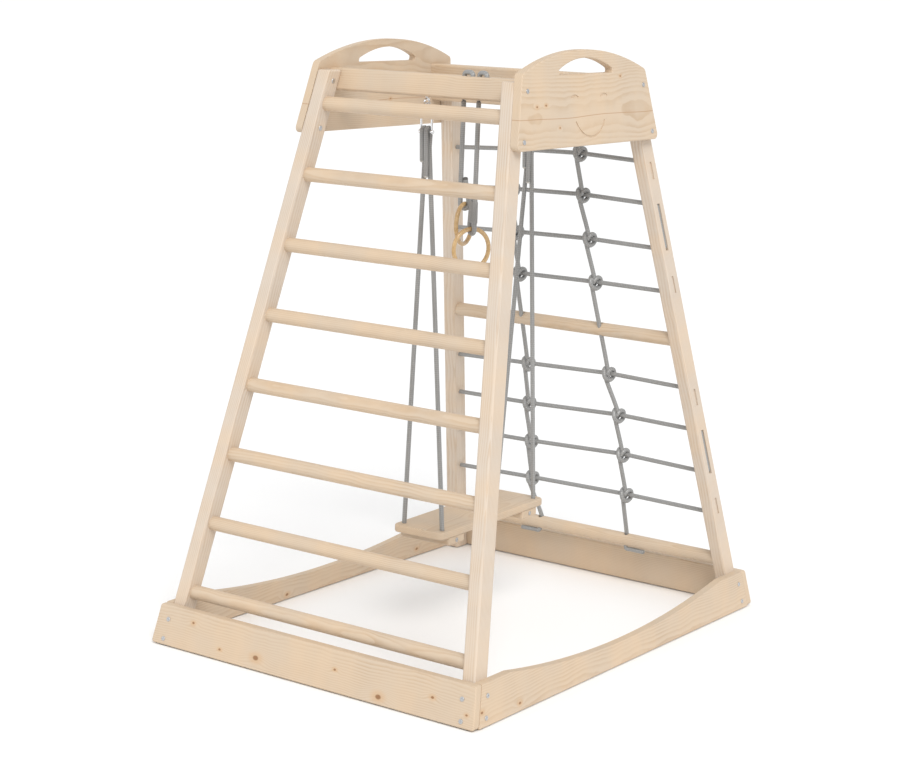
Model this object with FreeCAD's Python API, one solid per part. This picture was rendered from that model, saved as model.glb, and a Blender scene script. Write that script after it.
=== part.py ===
import FreeCAD, Part

# Wooden indoor climbing frame: ladder, rope net, swing and gym rings.
#
# Millimetres, +Z up. The origin is on the floor, under the middle of the frame. The ladder faces -Y, the net +Y.
# The four legs lean inwards along X and Y, so the frame is a pyramid with its top cut off.
import math
import os

from FreeCAD import Vector as V

os.makedirs("parts", exist_ok=True)

# ---- frame: the outer planes of the legs, measured at floor level, and how far they lean per mm of height ----
PAD_HEIGHT = 3.0
LEG_FACE_X = 412.8
LEG_FACE_Y = 544.2
LEAN_X = 0.129
LEAN_Y = 0.2465
LEG_X = 32.0
LEG_Y = 44.0
LEG_TOP = 1233.0
LEG_ROUND = 5.0

# ---- rungs ----
RUNG_D = 31.0
RUNG_FIT = 0.03
RUNG_SINK = 20.0
RUNG_BACKSET = LEG_Y / 2 + 2.0
LADDER_RUNGS = 8
LADDER_FIRST = 111.4
LADDER_PITCH = 150.0
MIDDLE_RUNG_Z = 643.0
BOTTOM_RUNG_Z = 117.5

# ---- boards and panels ----
BASE_H = 84.0
END_BOARD_T = 19.0
SIDE_BOARD_T = 17.0
SIDE_ARC_HALF = 425.0
SIDE_ARC_RISE = 36.0
PANEL_T = 19.0
PANEL_BOTTOM = 1098.0
PANEL_APEX = 1294.5
PANEL_TOP_R = 640.0
HAND_HALF = 102.0
HAND_FLOOR = 1245.0
HAND_RISE = 32.5
HAND_WALL = 9.0
HAND_CORNER_R = 4.4
CORNER_R = 8.0
EDGE_R = 2.5

# ---- top beams ----
BEAM_TOP = 1236.0
BEAM_T = 32.0
EYE_Y = {-1: 188.0, 1: 196.0}
FRONT_BEAM_H = 47.0
BACK_BEAM_H = 84.0
BEAM_ROUND = 5.0

# ---- fasteners ----
SCREW_D = 5.0
SCREW_HEAD_D = 10.0
SCREW_HEAD_T = 1.6
SCREW_GRIP = 15.0
PANEL_SCREW_L = 51.0
NUT_D = 11.0
NUT_T = 4.0
PANEL_SCREW_Z = (1116.0, 1216.0)
BASE_SCREW_Z = (19.0, 61.0)
DOWEL_D = 8.0
DOWEL_L = 34.0
PAD_D = 26.0
PAD_INSET_X = 10.0
PAD_OUT_Y = 1.8

# ---- ropes ----
ROPE_D = 10.0
ROPE_R = ROPE_D / 2
ROPE_FIT = 0.15
# each row, from the top: its height at the left leg, its left knot (x, z), its right knot (x, z) and its height
# at the right leg; the knots hold the rows up a little in the middle
NET_ROWS = (
    (1041.9, (-98.0, 1049.2), (95.6, 1053.3), 1047.1),
    (948.6, (-99.0, 955.4), (92.7, 958.8), 952.8),
    (848.0, (-101.0, 853.5), (99.4, 856.8), 852.2),
    (750.4, (-105.2, 753.4), (104.0, 755.6), 753.8),
    (526.2, (-109.3, 530.9), (117.1, 536.9), 530.6),
    (427.5, (-119.5, 428.7), (133.6, 437.1), 431.8),
    (328.1, (-125.6, 330.5), (135.6, 339.1), 331.7),
    (229.6, (-134.5, 233.7), (134.4, 236.7), 232.9),
)
LEFT_KNOTS = [row[1] for row in NET_ROWS]
RIGHT_KNOTS = [row[2] for row in NET_ROWS]
ROW_BEND_R = 300.0
ROW_PROUD = 1.0
ROPE_JOIN = 0.4
RIGHT_FOOT_X = 123.0
LEFT_FOOT_X = -121.0
FOOT_TAIL = 54.0
FOOT_TAIL_DROP = 20.6
FOOT_TAIL_FORWARD = 6.0
FOOT_BEND_R = 6.0
GROOVE_W = 10.6
GROOVE_DEEP = 11.0
TURN_R = 8.0
END_GROOVE = 38.0
END_GROOVE_W = 8.0
END_GROOVE_DEEP = 3.0
END_SINK = 20.0

# ---- swing ----
EYE_R = 8.0
WIRE_R = 2.5
EYE_DROP = 12.0
SHANK_L = 26.0
BOW_R = 13.8
SHACKLE_LEG = 45.0
PIN_R = 3.0
SEAT_X = 132.0
SEAT_Y = 416.0
SEAT_T = 17.0
SEAT_TOP = 263.0
SEAT_MIDDLE = (6.0, 4.5)
SEAT_TURN = 2.0
SEAT_HOLE = (50.0, 185.0)
SEAT_CORNER_R = 16.0
SEAT_ROPE_BEND = 6.0
SEAT_GROOVE_W = 10.6
SEAT_GROOVE_DEEP = 10.6
BATTEN_Y = 60.0
BATTEN_T = 17.0
BATTEN_AT = 148.5
BATTEN_INSET = 2.0
BATTEN_SCREW_X = 36.0
STRAND_GAP = 5.3
TAIL_Z = {-1: 1056.0, 1: 1024.0}

# ---- gym rings ----
RING_R = 42.0
RING_WIRE_R = 4.7
# each ring: name, where its rope leaves the beam, where the rope turns back into the beam,
# the middle of the ring's top, the heading of the ring's plane, the side of its main strand and the loop's top
RINGS = (
    ("left", (90.0, -182.0), (115.5, -187.5), (98.5, -180.5, 972.5), 102.5, -1, 1027.0),
    ("right", (127.5, -181.5), (150.0, -186.5), (133.5, -201.5, 925.0), 66.5, 1, 1012.0),
)
ROPE_HUMP = 8.0
BLIND_DEPTH = 16.0
BODY_GAP = 0.3


def face_x(z):
    """Half the distance between the outer side faces of the legs at height z."""
    return LEG_FACE_X - LEAN_X * z


def face_y(z):
    """Half the distance between the front faces and the back faces of the legs at height z."""
    return LEG_FACE_Y - LEAN_Y * z


def inner_x(z):
    return face_x(z) - LEG_X


def rung_y(z):
    return face_y(z) - RUNG_BACKSET


def export(shape, node):
    if not shape.isValid():
        raise ValueError(node + " is not a valid solid")
    shape.exportStep("parts/" + node + ".step")
    print(node, len(shape.Solids), "solid(s)", round(shape.Volume / 1000, 1), "cm3")


def group(shapes):
    return Part.makeCompound([s for shape in shapes for s in shape.Solids])


def cylinder(start, end, radius):
    axis = end - start
    return Part.makeCylinder(radius, axis.Length, start, axis)


def cut_all(shape, tools):
    for tool in tools:
        shape = shape.cut(tool)
    return shape


def rounded_loop(points, radius):
    """A closed planar wire through points, each corner rounded."""
    count = len(points)
    arcs = []
    for i, corner in enumerate(points):
        before = (points[i - 1] - corner).normalize()
        after = (points[(i + 1) % count] - corner).normalize()
        half = before.getAngle(after) / 2
        reach = radius / math.tan(half)
        middle = (before + after).normalize()
        nearest = corner + middle * (radius / math.sin(half) - radius)
        arcs.append((corner + before * reach, nearest, corner + after * reach))
    edges = []
    for i, arc in enumerate(arcs):
        edges.append(Part.Arc(*arc).toShape())
        edges.append(Part.LineSegment(arc[2], arcs[(i + 1) % count][0]).toShape())
    return Part.Wire(edges)


def prism(wire, push):
    solid = Part.Face(wire).extrude(push)
    return solid if solid.Volume > 0 else solid.reversed()


def soften(solid, radius, wanted):
    """Rounds the edges that wanted(edge) picks."""
    edges = [e for e in solid.Edges if wanted(e)]
    return solid.makeFillet(radius, edges)


def rope(points, bend, radius=ROPE_R):
    """A tube along straight runs joined by tangent arcs; bend is one radius or one for each inner point."""
    bends = bend if isinstance(bend, (list, tuple)) else [bend] * (len(points) - 2)
    edges = []
    start = points[0]
    for corner, after, arc_r in zip(points[1:-1], points[2:], bends):
        back = (start - corner).normalize()
        ahead = (after - corner).normalize()
        half = back.getAngle(ahead) / 2
        reach = arc_r / math.tan(half)
        middle = (back + ahead).normalize()
        nearest = corner + middle * (arc_r / math.sin(half) - arc_r)
        edges.append(Part.LineSegment(start, corner + back * reach).toShape())
        edges.append(Part.Arc(corner + back * reach, nearest, corner + ahead * reach).toShape())
        start = corner + ahead * reach
    edges.append(Part.LineSegment(start, points[-1]).toShape())
    path = Part.Wire(edges)
    section = Part.Wire(Part.Circle(points[0], points[1] - points[0], radius).toShape())
    tube = path.makePipeShell([section], True, True)
    expected = math.pi * radius ** 2 * path.Length
    if abs(tube.Volume / expected - 1) > 0.01:
        raise ValueError("a rope's volume is not its section times its length")
    print("  rope", round(path.Length), "mm long, bends", [round(b, 1) for b in bends])
    return tube


# ---- legs, rungs and boards ----
def leg(side, end):
    """One leg; side is -1 left or 1 right, end is -1 front or 1 back."""
    x_out = side * face_x(PAD_HEIGHT)
    y_out = end * face_y(PAD_HEIGHT)
    x_in = x_out - side * LEG_X
    y_in = y_out - end * LEG_Y
    base = [V(x, y, PAD_HEIGHT) for x, y in ((x_out, y_out), (x_in, y_out), (x_in, y_in), (x_out, y_in))]
    tall = LEG_TOP - PAD_HEIGHT
    post = prism(rounded_loop(base, LEG_ROUND), V(-side * LEAN_X * tall, -end * LEAN_Y * tall, tall))
    post = soften(post, LEG_ROUND - 1, lambda e: min(v.Z for v in e.Vertexes) > LEG_TOP - 0.01)
    for z in rung_heights(end):
        reach = inner_x(z) + RUNG_SINK
        y = end * rung_y(z)
        post = post.cut(cylinder(V(side * (reach - 60), y, z), V(side * reach, y, z), RUNG_D / 2 + RUNG_FIT))
    return post


def rung_heights(end):
    if end > 0:
        return [MIDDLE_RUNG_Z, BOTTOM_RUNG_Z]
    return [LADDER_FIRST + LADDER_PITCH * i for i in range(LADDER_RUNGS)]


def rung(z, end):
    reach = inner_x(z) + RUNG_SINK
    y = end * rung_y(z)
    bar = cylinder(V(-reach, y, z), V(reach, y, z), RUNG_D / 2)
    return bar.makeFillet(1.5, [e for e in bar.Edges if e.Curve.TypeId == "Part::GeomCircle"])


def along_x(edge):
    a, b = edge.Vertexes[0].Point, edge.Vertexes[-1].Point
    return len(edge.Vertexes) == 2 and abs(b.x - a.x) > 0.9 * (b - a).Length


def end_board(end):
    """The base board across the front (end -1) or the back (end 1); it covers the ends of the side boards."""
    low = PAD_HEIGHT
    high = PAD_HEIGHT + BASE_H
    loop = []
    for sign, z in ((-1, low), (1, low), (1, high), (-1, high)):
        loop.append(V(sign * (face_x(z) + SIDE_BOARD_T), end * face_y(z), z))
    board = prism(rounded_loop(loop, CORNER_R - 2), V(0, end * END_BOARD_T, 0))
    return soften(board, EDGE_R, lambda e: along_x(e) and e.Length > 200)


def side_board(side):
    """The base board along one side, thin in the middle under its curved top edge."""
    low = PAD_HEIGHT
    high = PAD_HEIGHT + BASE_H

    def at(y, z):
        return V(side * face_x(z), y, z)

    ends = [(-1, low), (1, low), (1, high), (-1, high)]
    corners = [at(sign * face_y(z), z) for sign, z in ends]
    board = prism(rounded_loop(corners, 0.5), V(side * SIDE_BOARD_T, 0, 0))
    scoop_r = (SIDE_ARC_HALF ** 2 + SIDE_ARC_RISE ** 2) / (2 * SIDE_ARC_RISE)
    middle = V(0, 0, high - SIDE_ARC_RISE + scoop_r)
    scoop = cylinder(middle - V(600, 0, 0), middle + V(600, 0, 0), scoop_r)
    board = board.cut(scoop)
    return board


def panel_profile(side, inset, bottom, top_r, apex):
    """The outline of a top panel in its leaning plane, as a wire."""
    def at(y, z):
        return V(side * face_x(z), y, z)

    def arc_z(y):
        return apex - top_r + math.sqrt(top_r ** 2 - y ** 2)

    shoulder = face_y(apex) - inset
    for _ in range(20):
        shoulder = face_y(arc_z(shoulder)) - inset
    low = face_y(bottom) - inset
    a, b = at(-low, bottom), at(low, bottom)
    c, d = at(shoulder, arc_z(shoulder)), at(-shoulder, arc_z(shoulder))
    edges = [Part.LineSegment(a, b).toShape(), Part.LineSegment(b, c).toShape()]
    edges.append(Part.Arc(c, at(0, apex), d).toShape())
    edges.append(Part.LineSegment(d, a).toShape())
    return Part.Wire(edges)


def hand_hole(side):
    """The arched opening near the top of a panel, as a tool to cut with."""
    def at(y, z):
        return V(side * (face_x(z) - 20), y, z)

    low = at(-HAND_HALF, HAND_FLOOR), at(HAND_HALF, HAND_FLOOR)
    high = at(HAND_HALF, HAND_FLOOR + HAND_WALL), at(-HAND_HALF, HAND_FLOOR + HAND_WALL)
    top = at(0, HAND_FLOOR + HAND_RISE)
    edges = [Part.LineSegment(low[0], low[1]).toShape(), Part.LineSegment(low[1], high[0]).toShape()]
    edges.append(Part.Arc(high[0], top, high[1]).toShape())
    edges.append(Part.LineSegment(high[1], low[0]).toShape())
    hole = prism(Part.Wire(edges), V(side * 60, 0, 0))
    return soften(hole, HAND_CORNER_R, lambda e: along_x(e) and abs(e.Vertexes[0].Y) > HAND_HALF - 5)


def engraved_arc(side, y, z, radius, from_deg, to_deg, width=4.0, deep=1.4):
    """A shallow curved groove in a panel's outer face, round (y, z), from one angle to another."""
    turn = math.radians

    def at(r, angle):
        height = z + r * math.sin(turn(angle))
        outer = side * (face_x(height) + PANEL_T - deep)
        return V(outer, y + r * math.cos(turn(angle)), height)

    mid = (from_deg + to_deg) / 2
    inner, outer = radius - width / 2, radius + width / 2
    edges = [Part.Arc(at(inner, from_deg), at(inner, mid), at(inner, to_deg)).toShape()]
    edges.append(Part.LineSegment(at(inner, to_deg), at(outer, to_deg)).toShape())
    edges.append(Part.Arc(at(outer, to_deg), at(outer, mid), at(outer, from_deg)).toShape())
    edges.append(Part.LineSegment(at(outer, from_deg), at(inner, from_deg)).toShape())
    return prism(Part.Wire(edges), V(side * 10, 0, 0))


def top_panel(side):
    profile = panel_profile(side, 0.5, PANEL_BOTTOM, PANEL_TOP_R, PANEL_APEX)
    panel = prism(profile, V(side * PANEL_T, 0, 0))
    corners = [e for e in panel.Edges if along_x(e)]
    panel = panel.makeFillet(12.0, corners)
    panel = panel.cut(hand_hole(side))
    panel = panel.makeFillet(EDGE_R, [e for e in panel.Edges if outside_rim(e, side)])
    if side > 0:
        # a plain smile: a mouth and two closed eyes
        panel = panel.cut(engraved_arc(side, 2, 1178, 62, 208, 332))
        panel = panel.cut(engraved_arc(side, -52, 1178, 24, 55, 125))
        panel = panel.cut(engraved_arc(side, 60, 1178, 24, 55, 125))
    return panel


def outside_rim(edge, side):
    """True for the edges that bound a panel's outer face or its inner face, not those across its thickness."""
    points = [v.Point for v in edge.Vertexes]
    if len(points) < 2 or along_x(edge):
        return False
    outer = [abs(abs(p.x) - face_x(p.z) - PANEL_T) < 0.01 for p in points]
    return all(outer)


def beam(end):
    """A top beam between the two panels, just inside the legs; end is -1 front or 1 back."""
    tall = FRONT_BEAM_H if end < 0 else BACK_BEAM_H
    low = BEAM_TOP - tall
    loop = []
    for sign, z in ((-1, low), (1, low), (1, BEAM_TOP), (-1, BEAM_TOP)):
        loop.append(V(sign * face_x(z), end * (face_y(z) - LEG_Y), z))
    edges = [Part.LineSegment(a, b).toShape() for a, b in zip(loop, loop[1:] + loop[:1])]
    bar = prism(Part.Wire(edges), V(0, -end * BEAM_T, 0))
    return soften(bar, BEAM_ROUND, along_x)


# ---- fasteners ----
def normal_out(side, end):
    """The outward normal of a leaning face: side picks the left or right faces, end the front or back ones."""
    return V(side, end, LEAN_X if side else LEAN_Y).normalize()


def screw(head, long, out):
    """A round-headed screw that goes into the wood from head; out points out of the wood."""
    shank = cylinder(head, head - out * long, SCREW_D / 2)
    cap = Part.makeCylinder(SCREW_HEAD_D / 2, SCREW_HEAD_T, head - out * 0.2, out)
    rim = [e for e in cap.Edges if (e.CenterOfMass - head).dot(out) > SCREW_HEAD_T - 0.5 and e.Closed]
    socket = Part.makeCylinder(1.8, 1.0, head + out * (SCREW_HEAD_T - 1.1), out)
    return cap.makeFillet(0.7, rim[:1]).cut(socket).fuse(shank).removeSplitter()


def corners_of_frame():
    return [(side, end) for side in (-1, 1) for end in (-1, 1)]


def panel_screws():
    """Screws through the panels and legs, at the middle of each leg."""
    found = []
    for side, end in corners_of_frame():
        for z in PANEL_SCREW_Z:
            y = end * (face_y(z) - LEG_Y / 2)
            head = V(side * (face_x(z) + PANEL_T), y, z)
            found.append(screw(head, PANEL_SCREW_L, normal_out(side, 0)))
    return found


def panel_nuts():
    found = []
    for side, end in corners_of_frame():
        for z in PANEL_SCREW_Z:
            y = end * (face_y(z) - LEG_Y / 2)
            out = normal_out(side, 0)
            head = V(side * (face_x(z) + PANEL_T), y, z)
            seat = head - out * (PANEL_SCREW_L - NUT_T)
            dome = Part.makeCylinder(NUT_D / 2, NUT_T + 1, seat, out * -1)
            rim = [e for e in dome.Edges if e.Closed and (e.CenterOfMass - seat).dot(out) < -1]
            found.append(dome.makeFillet(1.5, rim[:1]))
    return found


def side_board_screws():
    found = []
    for side, end in corners_of_frame():
        for z in BASE_SCREW_Z:
            y = end * (face_y(z) - LEG_Y / 2)
            head = V(side * (face_x(z) + SIDE_BOARD_T), y, z)
            found.append(screw(head, SIDE_BOARD_T + SCREW_GRIP, normal_out(side, 0)))
    return found


def end_board_screws():
    found = []
    for side, end in corners_of_frame():
        for z in BASE_SCREW_Z:
            low = z - 3
            x = side * (face_x(low) - LEG_X / 2 + 1.5)
            head = V(x, end * (face_y(low) + END_BOARD_T), low)
            found.append(screw(head, END_BOARD_T + SCREW_GRIP + 8, normal_out(0, end)))
    return found


def beam_dowels():
    """Wooden dowels that hold each beam's ends in the panels."""
    found = []
    for side in (-1, 1):
        for end in (-1, 1):
            tall = FRONT_BEAM_H if end < 0 else BACK_BEAM_H
            for z in (BEAM_TOP - tall * 0.28, BEAM_TOP - tall * 0.72):
                y = end * (face_y(z) - LEG_Y - BEAM_T / 2)
                inner = V(side * (face_x(z) - DOWEL_L / 2 - 3), y, z)
                found.append(cylinder(inner, inner + V(side * DOWEL_L * 0.9, 0, 0), DOWEL_D / 2))
    return found


def foot_pads():
    found = []
    for side, end in corners_of_frame():
        middle = V(side * (face_x(0) - PAD_INSET_X), end * (face_y(0) + PAD_OUT_Y), 0)
        found.append(Part.makeCylinder(PAD_D / 2, PAD_HEIGHT, middle))
    return found


# ---- net ----
def net_point(x, z):
    return V(x, rung_y(z), z)


def groove_x(z):
    return face_x(z) - GROOVE_DEEP + ROPE_R + 0.4


def row_end_x(z):
    """Where a row's straight run ends, just clear of the leg it goes through."""
    return inner_x(z) - ROW_PROUD


def net_row(row):
    left_z, left_knot, right_knot, right_z = row
    points = [net_point(ROPE_JOIN - row_end_x(left_z), left_z), net_point(*left_knot)]
    points += [net_point(*right_knot), net_point(row_end_x(right_z) - ROPE_JOIN, right_z)]
    return rope(points, ROW_BEND_R)


def row_z(row, side):
    """The height at which a row goes through the left leg (side -1) or the right leg (side 1)."""
    return row[0] if side < 0 else row[3]


def net_turn(side, upper, lower):
    """Where the cord goes through a leg, down its outer groove and back to the next row."""
    high, low = row_z(upper, side), row_z(lower, side)
    points = [net_point(side * row_end_x(high), high), net_point(side * groove_x(high), high)]
    points += [net_point(side * groove_x(low), low), net_point(side * row_end_x(low), low)]
    return points


def net_end(side, row):
    """Where the cord ends in a blind hole in a leg."""
    z = row_z(row, side)
    return [net_point(side * row_end_x(z), z), net_point(side * (inner_x(z) + END_SINK), z)]


def end_slot(side, row, down):
    """The shallow slot in the leg's outer face beside a cord's end; down is -1 or 1."""
    z = row_z(row, side)
    low, high = sorted((z, z + down * END_GROOVE))
    return slot(side, low, high, END_GROOVE_W, END_GROOVE_DEEP)


def net_bends():
    """Every bend of the two cords, as (side, which cord, points)."""
    found = []
    for first, cord in ((0, "upper"), (4, "lower")):
        rows = NET_ROWS[first:first + 4]
        found.append((1, cord, net_end(1, rows[0])))
        found.append((-1, cord, net_turn(-1, rows[0], rows[1])))
        found.append((1, cord, net_turn(1, rows[1], rows[2])))
        found.append((-1, cord, net_turn(-1, rows[2], rows[3])))
        found.append((1, cord, net_end(1, rows[3])))
    return found


def slot(side, low, high, width, deep):
    """A slot up a back leg's outer face between two heights, as a tool to cut with."""
    y = rung_y(low)
    half = width / 2
    section = ((-deep, -half), (8, -half), (8, half), (-deep, half))
    corners = [V(side * (face_x(low) + dx), y + dy, low) for dx, dy in section]
    edges = [Part.LineSegment(a, b).toShape() for a, b in zip(corners, corners[1:] + corners[:1])]
    tall = high - low
    return prism(Part.Wire(edges), V(-side * LEAN_X * tall, -LEAN_Y * tall, tall))


def groove(side, points):
    """The slot that holds one turn of the cord."""
    low = min(p.z for p in points) - 2
    high = max(p.z for p in points) + 2
    return slot(side, low, high, GROOVE_W, GROOVE_DEEP)


def net_upright(knots, foot_x):
    """A rope from the top row to the bottom rung, hitched round every row on its way."""
    ring_r = ROPE_D + ROPE_FIT
    places = [net_point(x, z) for x, z in knots]
    pieces = [net_foot(places[-1], foot_x, ROPE_R)]
    for place in places:
        for shift in (-STRAND_GAP, STRAND_GAP):
            pieces.append(Part.makeTorus(ring_r, ROPE_R, place + V(shift, 0, 0), V(1, 0, 0)))
    for above, below in zip(places, places[1:]):
        way = (below - above).normalize()
        pieces.append(cylinder(above + way * (ring_r - 1), below - way * (ring_r - 1), ROPE_R))
    return pieces[0].multiFuse(pieces[1:]).removeSplitter()


def net_foot(last_row, foot_x, radius):
    """The rope's end: from the last row into the bottom rung, out below it and along it."""
    foot = V(foot_x, rung_y(BOTTOM_RUNG_Z), BOTTOM_RUNG_Z)
    tail = foot - V(0, FOOT_TAIL_FORWARD, FOOT_TAIL_DROP)
    way = (foot - last_row).normalize()
    start = last_row + way * (ROPE_D + ROPE_FIT - 1)
    return rope([start, foot, tail, tail + V(math.copysign(FOOT_TAIL, foot_x), 0, 0)], FOOT_BEND_R, radius)


def upright_tools(knots, foot_x):
    """Slightly wider rods that make the holes for one upright in the middle rung and the bottom rung."""
    wide = ROPE_R + ROPE_FIT
    above = net_point(*knots[3])
    below = net_point(*knots[4])
    return [cylinder(above, below, wide), net_foot(net_point(*knots[7]), foot_x, wide)]


# ---- swing ----
def beam_low(end):
    return BEAM_TOP - (FRONT_BEAM_H if end < 0 else BACK_BEAM_H)


def eye_centre(end):
    return V(0, end * EYE_Y[end], beam_low(end) - EYE_DROP)


def swing_pivot(end):
    """The centre of a shackle's bow, which turns in the screw eye."""
    return eye_centre(end) + V(0, 0, -EYE_R + 2 * WIRE_R + BODY_GAP - BOW_R)


def screw_eye(end):
    centre = eye_centre(end)
    ring = Part.makeTorus(EYE_R, WIRE_R, centre, V(1, 0, 0))
    shank = cylinder(centre + V(0, 0, EYE_R), centre + V(0, 0, EYE_R + SHANK_L), WIRE_R)
    collar = Part.makeCylinder(5.0, 1.5, V(0, centre.y, beam_low(end) - 1.5))
    return ring.fuse([shank, collar]).removeSplitter()


def shackle(end):
    pivot = swing_pivot(end)
    left, right = pivot + V(-BOW_R, 0, 0), pivot + V(BOW_R, 0, 0)
    down = V(0, 0, -SHACKLE_LEG)
    path = Part.Wire([
        Part.LineSegment(left + down, left).toShape(),
        Part.Arc(left, pivot + V(0, 0, BOW_R), right).toShape(),
        Part.LineSegment(right, right + down).toShape(),
    ])
    section = Part.Wire(Part.Circle(left + down, V(0, 0, 1), WIRE_R).toShape())
    bow = path.makePipeShell([section], True, True)
    pin = cylinder(left + down - V(5.5, 0, 0), right + down + V(5.5, 0, 0), PIN_R)
    ears = [cylinder(p + down - V(3, 0, 0), p + down + V(3, 0, 0), 5.0) for p in (left, right)]
    return bow.fuse([pin] + ears).removeSplitter()


def seat_place(x, y, z):
    """A point of the seat, from its own middle, turned with it."""
    turn = math.radians(SEAT_TURN)
    return V(
        SEAT_MIDDLE[0] + x * math.cos(turn) - y * math.sin(turn),
        SEAT_MIDDLE[1] + x * math.sin(turn) + y * math.cos(turn),
        z,
    )


def swing_rope(side, end):
    """From the cut tail, over the shackle's pin and down to its hole in the seat."""
    pin = swing_pivot(end) + V(0, 0, -SHACKLE_LEG)
    x = side * STRAND_GAP
    wrap = PIN_R + ROPE_R + 0.2
    touch = ROPE_R + 0.2
    tail_z = TAIL_Z[side] - (beam_low(-1) - beam_low(end))
    hole = seat_place(side * SEAT_HOLE[0], end * SEAT_HOLE[1], SEAT_TOP)
    points = [
        V(x, pin.y - touch, tail_z),
        V(x, pin.y - wrap, pin.z + wrap),
        V(x, pin.y + wrap, pin.z + wrap),
        V(x, pin.y + touch, pin.z - 34),
        hole + V(0, 0, ROPE_JOIN),
    ]
    return rope(points, [wrap * 0.97, wrap * 0.97, 30.0])


def under_seat_points(end):
    """From one hole in the seat, across in the groove under it and up into the other hole."""
    across = SEAT_TOP - SEAT_T + SEAT_GROOVE_DEEP / 2
    x, y = SEAT_HOLE[0], end * SEAT_HOLE[1]
    levels = ((-x, SEAT_TOP), (-x, across), (x, across), (x, SEAT_TOP))
    return [seat_place(px, y, z) for px, z in levels]


def under_seat_rope(end, radius=ROPE_R):
    return rope(under_seat_points(end), SEAT_ROPE_BEND, radius)


def under_seat_groove(end):
    low = SEAT_TOP - SEAT_T - 5
    half = SEAT_GROOVE_W / 2
    x, y = SEAT_HOLE[0], end * SEAT_HOLE[1]
    corners = [seat_place(px, y + dy, low) for px, dy in ((-x, -half), (x, -half), (x, half), (-x, half))]
    edges = [Part.LineSegment(a, b).toShape() for a, b in zip(corners, corners[1:] + corners[:1])]
    return prism(Part.Wire(edges), V(0, 0, 5 + SEAT_GROOVE_DEEP))


def seat_loop(half_x, half_y, z, radius):
    corners = [seat_place(x, y, z) for x, y in
               ((-half_x, -half_y), (half_x, -half_y), (half_x, half_y), (-half_x, half_y))]
    return rounded_loop(corners, radius)


def swing_seat():
    board = prism(seat_loop(SEAT_X / 2, SEAT_Y / 2, SEAT_TOP - SEAT_T, SEAT_CORNER_R), V(0, 0, SEAT_T))
    rims = [e for e in board.Edges if len({round(v.Z, 3) for v in e.Vertexes}) == 1]
    board = board.makeFillet(4.0, rims)
    for end in (-1, 1):
        holes = [seat_place(side * SEAT_HOLE[0], end * SEAT_HOLE[1], SEAT_TOP - SEAT_T - 5) for side in (-1, 1)]
        tools = [cylinder(low, low + V(0, 0, 40), SEAT_GROOVE_W / 2) for low in holes]
        board = cut_all(board, tools + [under_seat_groove(end)])
    return board


def seat_batten(end):
    z = SEAT_TOP - SEAT_T - BATTEN_T
    half = SEAT_X / 2 - BATTEN_INSET
    corners = [seat_place(x, end * BATTEN_AT + y, z) for x, y in
               ((-half, -BATTEN_Y / 2), (half, -BATTEN_Y / 2), (half, BATTEN_Y / 2), (-half, BATTEN_Y / 2))]
    bar = prism(rounded_loop(corners, 3.0), V(0, 0, BATTEN_T))
    low_rim = [e for e in bar.Edges if max(v.Z for v in e.Vertexes) < z + 0.01]
    return bar.makeFillet(2.9, low_rim)


def batten_screws():
    """Screws up through the battens into the seat, and one in each end of each batten."""
    found = []
    low = SEAT_TOP - SEAT_T - BATTEN_T
    for end in (-1, 1):
        for side in (-1, 1):
            under = seat_place(side * BATTEN_SCREW_X, end * BATTEN_AT, low)
            found.append(screw(under, BATTEN_T + SEAT_T - 5, V(0, 0, -1)))
            tip = seat_place(side * (SEAT_X / 2 - BATTEN_INSET), end * BATTEN_AT, low + BATTEN_T / 2)
            out = (tip - seat_place(0, end * BATTEN_AT, low + BATTEN_T / 2)).normalize()
            found.append(screw(tip, 20, out))
    return found


# ---- gym rings ----
def ring_frame(heading):
    turn = math.radians(heading)
    along = V(math.cos(turn), math.sin(turn), 0)
    across = V(math.sin(turn), -math.cos(turn), 0)
    return along, across


def ring_rope_top(hole, back):
    """The rope's end: up through the beam, over its top and back down into a blind hole."""
    low = V(hole[0], hole[1], beam_low(-1))
    high = V(hole[0], hole[1], BEAM_TOP + ROPE_HUMP)
    over = V(back[0], back[1], BEAM_TOP + ROPE_HUMP)
    end = V(back[0], back[1], BEAM_TOP - BLIND_DEPTH)
    return [low, high, over, end]


def loop_points(top, heading, main, loop_top):
    """The rope's loop round the ring: main strand down, round the ring's wood and up to the cut tail."""
    _, across = ring_frame(heading)
    out = RING_WIRE_R + ROPE_R + 0.2
    centre = V(*top)
    main_low = centre + across * (main * out)
    tail_low = centre - across * (main * out)
    start = V(main_low.x, main_low.y, loop_top)
    close = centre - across * (main * (out - 2 * (out - ROPE_R - 0.2)))
    tail_top = V(close.x, close.y, loop_top - 4) + across * (main * 0.2)
    return start, main_low, tail_low, tail_top, out


def ring_loop(top, heading, main, loop_top):
    start, main_low, tail_low, tail_top, out = loop_points(top, heading, main, loop_top)
    bottom = V(*top) - V(0, 0, out)
    arc = Part.Arc(main_low, bottom, tail_low).toShape()
    section = Part.Wire(Part.Circle(main_low, V(0, 0, 1), ROPE_R).toShape())
    bend = Part.Wire([arc]).makePipeShell([section], True, True)
    joint = [Part.makeSphere(ROPE_R, p) for p in (main_low, tail_low)]
    return bend.multiFuse([cylinder(start, main_low, ROPE_R), cylinder(tail_low, tail_top, ROPE_R)] + joint)


def gym_ring(top, heading):
    _, across = ring_frame(heading)
    return Part.makeTorus(RING_R, RING_WIRE_R, V(*top) - V(0, 0, RING_R), across)


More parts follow.
